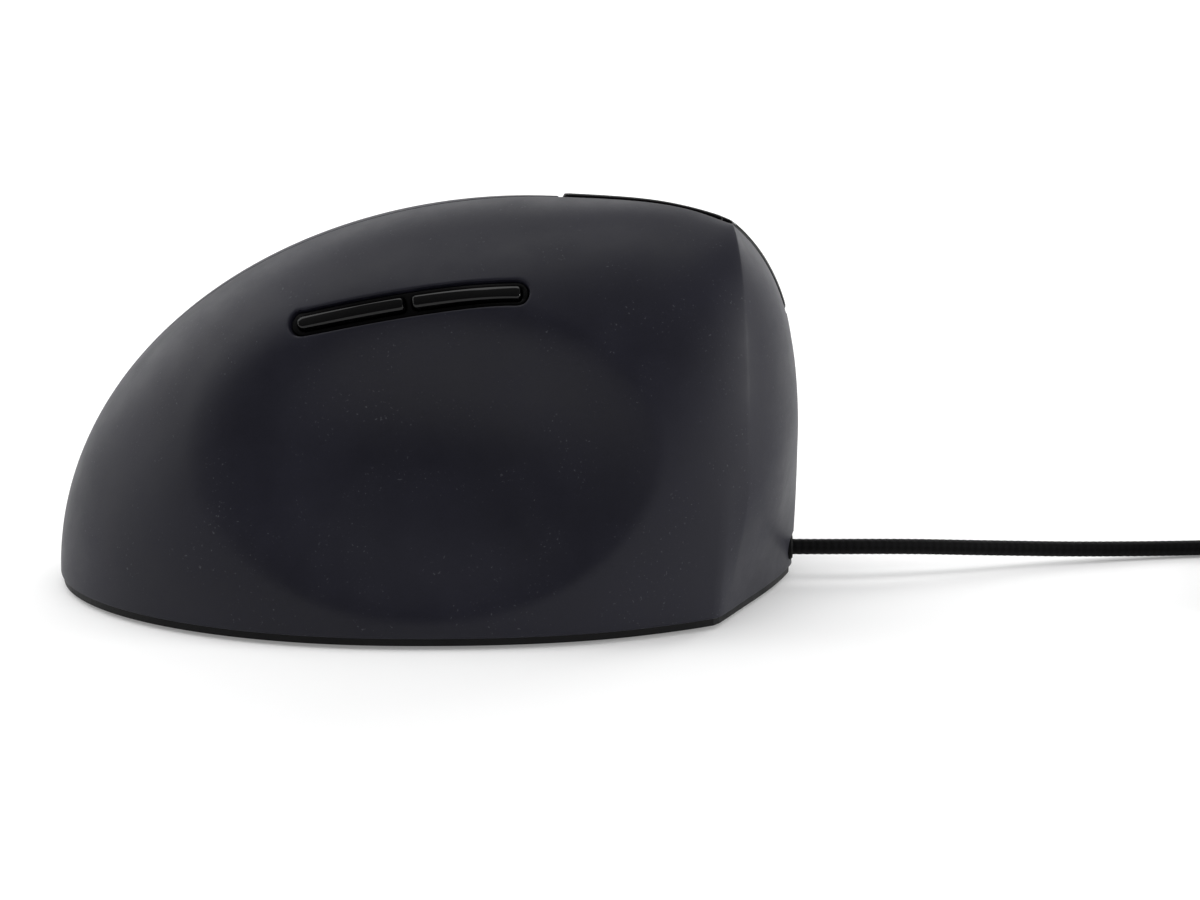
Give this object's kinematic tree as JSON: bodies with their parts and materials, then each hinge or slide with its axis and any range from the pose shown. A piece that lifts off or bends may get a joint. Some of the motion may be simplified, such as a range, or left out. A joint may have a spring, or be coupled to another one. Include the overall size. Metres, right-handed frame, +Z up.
{
  "type": "upright computer mouse",
  "caption": "Left-handed upright corded mouse with a thumb hollow, two side buttons, two finger buttons, a scroll wheel and a coiled cord with a USB plug.",
  "frame": {"origin": "on the resting surface, under the centre of the mouse body", "axes": "+X to the front where the cord leaves, -Y to the thumb side, +Y to the finger side, +Z up"},
  "size_m": [0.2596, 0.076, 0.0656],
  "materials": {
    "soft_coat": "soft-touch rubber paint over ABS, fine matte grain",
    "gloss_black": "polished black ABS",
    "bezel_black": "black ABS, fine texture",
    "base_black": "black ABS, spark-eroded texture",
    "inner_black": "moulded black ABS",
    "wheel_rubber": "ribbed rubber",
    "glide": "low-friction PTFE, dark",
    "board_green": "solder mask over glass epoxy board",
    "chip_black": "moulded epoxy",
    "clear_lens": "clear moulded lens",
    "led_red": "red tinted epoxy",
    "white_plastic": "natural POM",
    "ribbon_grey": "flat flexible cable",
    "screw_steel": "zinc-plated steel",
    "cord_black": "black braided sleeve",
    "tie_black": "black rubberised tie",
    "plug_black": "overmoulded black PVC",
    "plug_steel": "nickel-plated steel"
  },
  "bodies": {
    "housing": {"base_plate": "base_black", "thumb_shell": "soft_coat", "palm_shell": "soft_coat", "wheel_strip": "gloss_black", "side_bezel": "bezel_black", "front_glide": "glide", "rear_glide": "glide", "thumb_glide": "glide", "inner_frame": "inner_black", "main_pcb": "board_green", "sensor_chip": "chip_black", "sensor_lens": "clear_lens", "sensor_led": "led_red", "controller_chip": "chip_black", "cord_socket": "white_plastic", "cord_wires": "cord_black", "button_pcb": "board_green", "index_switch": "chip_black", "middle_switch": "chip_black", "wheel_switch": "chip_black", "dpi_switch": "chip_black", "side_pcb": "board_green", "back_switch": "chip_black", "forward_switch": "chip_black", "ribbon_cable": "ribbon_grey", "side_ribbon": "ribbon_grey", "base_screws": "screw_steel", "pcb_screws": "screw_steel", "side_screws": "screw_steel", "strain_relief": "cord_black", "cord_lead": "cord_black", "cord_coil": "cord_black", "cord_tail": "cord_black", "cord_tie": "tie_black", "plug_body": "plug_black", "plug_shell": "plug_steel", "plug_tongue": "white_plastic"},
    "index_key": {"index_button": "gloss_black"},
    "middle_key": {"middle_button": "gloss_black"},
    "index_contact": {"index_plunger": "white_plastic"},
    "middle_contact": {"middle_plunger": "white_plastic"},
    "carrier": {"wheel_carrier": "white_plastic", "wheel_encoder": "inner_black"},
    "wheel": {"wheel_hub": "inner_black", "wheel_tyre": "wheel_rubber"},
    "wheel_contact": {"wheel_plunger": "white_plastic"},
    "dpi_key": {"dpi_button": "gloss_black"},
    "dpi_contact": {"dpi_plunger": "white_plastic"},
    "back_key": {"back_button": "gloss_black"},
    "back_contact": {"back_plunger": "white_plastic"},
    "forward_key": {"forward_button": "gloss_black"},
    "forward_contact": {"forward_plunger": "white_plastic"}
  },
  "joints": [
    {"name": "index_press", "type": "hinge", "parent": "housing", "child": "index_key", "pos_m": [0.0125, 0.008, 0.04882], "axis": [0, 0.5592, -0.829], "range_deg": [0, 0.7], "stiffness_Nm_per_rad": 0.35, "springref_deg": -0.57},
    {"name": "middle_press", "type": "hinge", "parent": "housing", "child": "middle_key", "pos_m": [0.009, 0.02422, 0.02478], "axis": [0, 0.5592, -0.829], "range_deg": [0, 0.7], "stiffness_Nm_per_rad": 0.45, "springref_deg": -0.57},
    {"name": "index_contact_press", "type": "slide", "parent": "housing", "child": "index_contact", "axis": [0, -0.829, -0.5592], "range_m": [0, 0.0003]},
    {"name": "middle_contact_press", "type": "slide", "parent": "housing", "child": "middle_contact", "axis": [0, -0.829, -0.5592], "range_m": [0, 0.0003]},
    {"name": "wheel_click", "type": "slide", "parent": "housing", "child": "carrier", "axis": [0, -0.829, -0.5592], "range_m": [0, 0.0003], "stiffness_N_per_m": 1500, "springref_m": -0.0004},
    {"name": "wheel_spin", "type": "hinge", "parent": "carrier", "child": "wheel", "pos_m": [0.034, 0.01581, 0.03599], "axis": [0, 0.5592, -0.829], "continuous": true},
    {"name": "wheel_contact_press", "type": "slide", "parent": "housing", "child": "wheel_contact", "axis": [0, -0.829, -0.5592], "range_m": [0, 0.0003]},
    {"name": "dpi_press", "type": "slide", "parent": "housing", "child": "dpi_key", "axis": [0, -0.829, -0.5592], "range_m": [0, 0.0003], "stiffness_N_per_m": 500, "springref_m": -0.0004},
    {"name": "dpi_contact_press", "type": "slide", "parent": "housing", "child": "dpi_contact", "axis": [0, -0.829, -0.5592], "range_m": [0, 0.0003]},
    {"name": "back_press", "type": "slide", "parent": "housing", "child": "back_key", "axis": [0.1736, 0.8529, -0.4924], "range_m": [0, 0.00035], "stiffness_N_per_m": 500, "springref_m": -0.0004},
    {"name": "back_contact_press", "type": "slide", "parent": "housing", "child": "back_contact", "axis": [0.1736, 0.8529, -0.4924], "range_m": [0, 0.0004]},
    {"name": "forward_press", "type": "slide", "parent": "housing", "child": "forward_key", "axis": [0.1736, 0.8529, -0.4924], "range_m": [0, 0.00035], "stiffness_N_per_m": 500, "springref_m": -0.0004},
    {"name": "forward_contact_press", "type": "slide", "parent": "housing", "child": "forward_contact", "axis": [0.1736, 0.8529, -0.4924], "range_m": [0, 0.0004]}
  ],
  "couplings": [
    {"joint": "index_contact_press", "follows": "index_press", "m_per_rad": 0.0205},
    {"joint": "middle_contact_press", "follows": "middle_press", "m_per_rad": 0.024},
    {"joint": "wheel_contact_press", "follows": "wheel_click", "ratio": 1},
    {"joint": "dpi_contact_press", "follows": "dpi_press", "ratio": 1},
    {"joint": "back_contact_press", "follows": "back_press", "ratio": 1},
    {"joint": "forward_contact_press", "follows": "forward_press", "ratio": 1}
  ]
}
